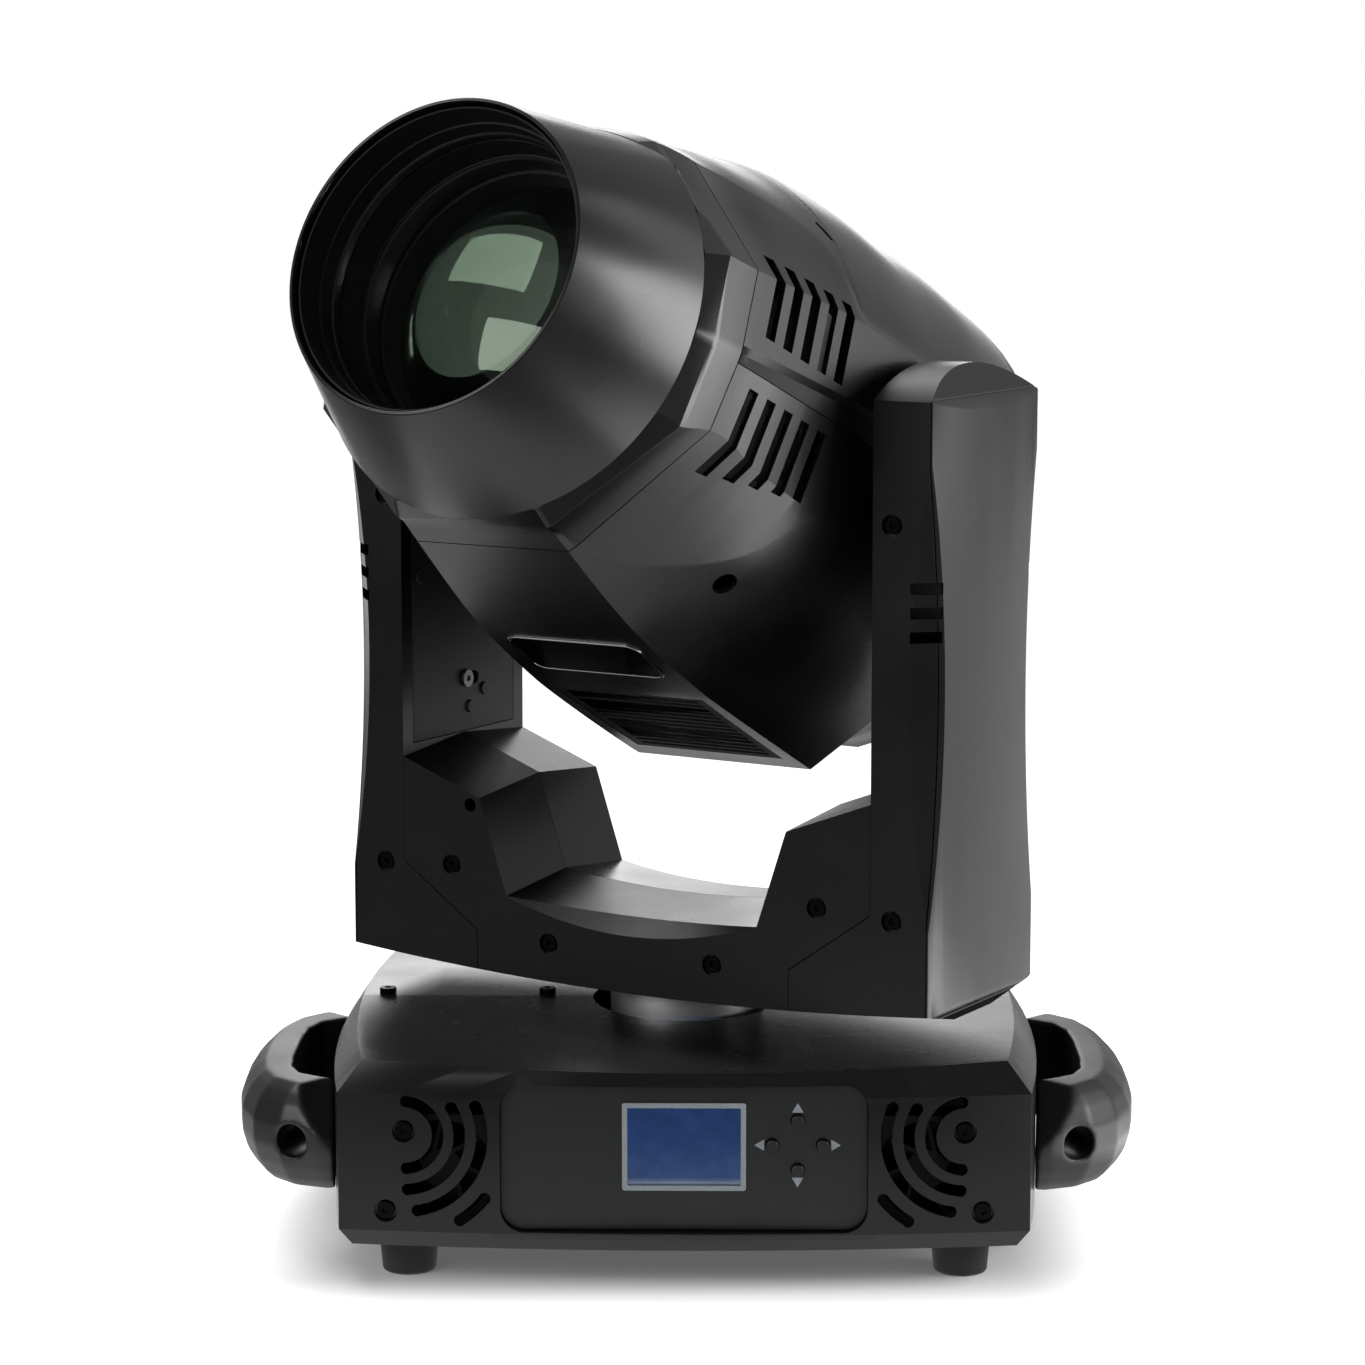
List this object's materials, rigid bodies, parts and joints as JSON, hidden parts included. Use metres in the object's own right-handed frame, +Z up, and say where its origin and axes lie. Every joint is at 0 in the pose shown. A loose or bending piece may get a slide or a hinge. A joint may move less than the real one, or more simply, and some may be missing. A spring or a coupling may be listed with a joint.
{
  "type": "moving head light",
  "caption": "Stage light with a hooded tapered head that tilts between the arms of a yoke, which pans on a base with handles, feet and a control panel.",
  "frame": {"origin": "on the floor under the middle of the whole light, 12 mm in front of the pan axis", "axes": "+Z up along the pan axis, the control panel faces -Y, +X to the right of the panel"},
  "size_m": [0.504, 0.5075, 0.6315],
  "materials": {
    "black_moulding": "fine-textured black moulded plastic",
    "black_cover": "satin black moulded plastic",
    "handle_plastic": "coarse textured dark grey moulded plastic",
    "panel_gloss": "semi-gloss black control panel",
    "window_gloss": "gloss black plate",
    "grey_frame": "pale grey frame",
    "bright_frame": "bright plated trim",
    "display": "lit blue display on its board",
    "button_plastic": "black push button",
    "rubber": "black rubber",
    "belt_rubber": "toothed drive belt",
    "screw_steel": "black oxide steel",
    "chassis_steel": "zinc plated sheet steel",
    "bearing_steel": "ground bearing steel",
    "hub_steel": "bright turned steel",
    "motor_body": "black motor case",
    "pulley_alloy": "turned alloy",
    "psu_case": "folded alloy case",
    "fan_plastic": "black fan plastic",
    "inlet_plastic": "blue locking power inlet",
    "socket_metal": "nickel plated socket shell",
    "arm_plate": "dark grey painted plate",
    "lock_steel": "bright steel lever and screw",
    "liner_black": "flocked matt black liner",
    "lens_glass": "coated optical glass",
    "grille_black": "black slatted grille",
    "sink_alloy": "finned alloy heat sink",
    "engine": "light engine on its copper board",
    "wheel_metal": "coated wheel disc"
  },
  "bodies": {
    "base": {"base_chassis": "chassis_steel", "base_front_panel": "black_moulding", "base_top_cover_front": "black_moulding", "base_top_cover_rear": "black_moulding", "base_rear_panel": "black_moulding", "control_panel": "panel_gloss", "display_bezel": "grey_frame", "display_module": "display", "handle_left": "handle_plastic", "handle_right": "handle_plastic", "base_feet": "rubber", "base_screws": "screw_steel", "pan_bearing": "bearing_steel", "pan_motor": "motor_body", "pan_belt": "belt_rubber", "power_supply": "psu_case", "base_fan_frames": "fan_plastic", "power_inlet": "inlet_plastic", "control_sockets": "socket_metal"},
    "yoke": {"yoke_frame": "chassis_steel", "pan_hub": "hub_steel", "yoke_bridge_front": "black_moulding", "yoke_bridge_rear": "black_moulding", "arm_housing_left": "black_moulding", "arm_housing_right": "black_moulding", "arm_cover_left": "black_cover", "arm_cover_right": "black_cover", "arm_plate_left": "arm_plate", "arm_plate_right": "arm_plate", "tilt_bearings": "bearing_steel", "yoke_screws": "screw_steel", "tilt_motor": "motor_body", "tilt_belt": "belt_rubber"},
    "head": {"lens_hood": "black_cover", "hood_liner": "liner_black", "front_lens": "lens_glass", "head_bezel": "black_moulding", "head_upper_shell": "black_cover", "head_lower_shell": "black_cover", "rear_grille": "grille_black", "underside_grille": "grille_black", "badge_frame": "bright_frame", "badge_window": "window_gloss", "head_chassis": "chassis_steel", "tilt_shafts": "bearing_steel", "light_engine": "engine", "heat_sink": "sink_alloy"},
    "button_up": {"button_up": "button_plastic"},
    "button_down": {"button_down": "button_plastic"},
    "button_left": {"button_left": "button_plastic"},
    "button_right": {"button_right": "button_plastic"},
    "base_fan_left": {"base_fan_left": "fan_plastic"},
    "base_fan_right": {"base_fan_right": "fan_plastic"},
    "pan_motor_pulley": {"pan_motor_pulley": "pulley_alloy"},
    "tilt_motor_pulley": {"tilt_motor_pulley": "pulley_alloy"},
    "tilt_lock": {"tilt_lock": "lock_steel"},
    "head_fan": {"head_fan": "fan_plastic"},
    "colour_wheel": {"colour_wheel": "wheel_metal"},
    "gobo_wheel": {"gobo_wheel": "wheel_metal"},
    "zoom_carriage": {"zoom_carriage": "pulley_alloy"}
  },
  "joints": [
    {"name": "pan", "type": "hinge", "parent": "base", "child": "yoke", "pos_m": [0, 0.012, 0.12], "axis": [0, 0, 1], "range_deg": [-239.6, 300.4]},
    {"name": "tilt", "type": "hinge", "parent": "yoke", "child": "head", "pos_m": [0, 0.012, 0.4446], "axis": [0.8625, -0.506, 0], "range_deg": [-201.2, 68.8]},
    {"name": "button_up_press", "type": "slide", "parent": "base", "child": "button_up", "axis": [0, 1, 0], "range_m": [0, 0.0007], "stiffness_N_per_m": 1200},
    {"name": "button_down_press", "type": "slide", "parent": "base", "child": "button_down", "axis": [0, 1, 0], "range_m": [0, 0.0007], "stiffness_N_per_m": 1200},
    {"name": "button_left_press", "type": "slide", "parent": "base", "child": "button_left", "axis": [0, 1, 0], "range_m": [0, 0.0007], "stiffness_N_per_m": 1200},
    {"name": "button_right_press", "type": "slide", "parent": "base", "child": "button_right", "axis": [0, 1, 0], "range_m": [0, 0.0007], "stiffness_N_per_m": 1200},
    {"name": "base_fan_left_spin", "type": "hinge", "parent": "base", "child": "base_fan_left", "pos_m": [-0.13, -0.118, 0.063], "axis": [0, -1, 0], "continuous": true},
    {"name": "base_fan_right_spin", "type": "hinge", "parent": "base", "child": "base_fan_right", "pos_m": [0.13, -0.118, 0.063], "axis": [0, -1, 0], "continuous": true},
    {"name": "pan_motor_spin", "type": "hinge", "parent": "base", "child": "pan_motor_pulley", "pos_m": [0.125, 0.012, 0.06], "axis": [0, 0, 1], "range_deg": [-1562.4, 1957.6]},
    {"name": "tilt_motor_spin", "type": "hinge", "parent": "yoke", "child": "tilt_motor_pulley", "pos_m": [-0.15094, 0.10056, 0.194], "axis": [0.8625, -0.506, 0], "range_deg": [-608.6, 211.4]},
    {"name": "tilt_lock_turn", "type": "hinge", "parent": "yoke", "child": "tilt_lock", "pos_m": [-0.13076, 0.09544, 0.2801], "axis": [0.8625, -0.506, 0], "range_deg": [-30, 0]},
    {"name": "head_fan_spin", "type": "hinge", "parent": "head", "child": "head_fan", "pos_m": [0.09769, 0.17851, 0.35945], "axis": [-0.463, -0.7892, 0.4035], "continuous": true},
    {"name": "colour_wheel_spin", "type": "hinge", "parent": "head", "child": "colour_wheel", "pos_m": [0.04415, 0.08725, 0.46896], "axis": [-0.463, -0.7892, 0.4035], "continuous": true},
    {"name": "gobo_wheel_spin", "type": "hinge", "parent": "head", "child": "gobo_wheel", "pos_m": [0.01372, 0.03539, 0.36979], "axis": [-0.463, -0.7892, 0.4035], "continuous": true},
    {"name": "zoom_slide", "type": "slide", "parent": "head", "child": "zoom_carriage", "axis": [-0.463, -0.7892, 0.4035], "range_m": [-0.018, 0.026]}
  ],
  "couplings": [
    {"joint": "pan_motor_spin", "follows": "pan", "ratio": 6.5},
    {"joint": "tilt_motor_spin", "follows": "tilt", "ratio": 3}
  ]
}
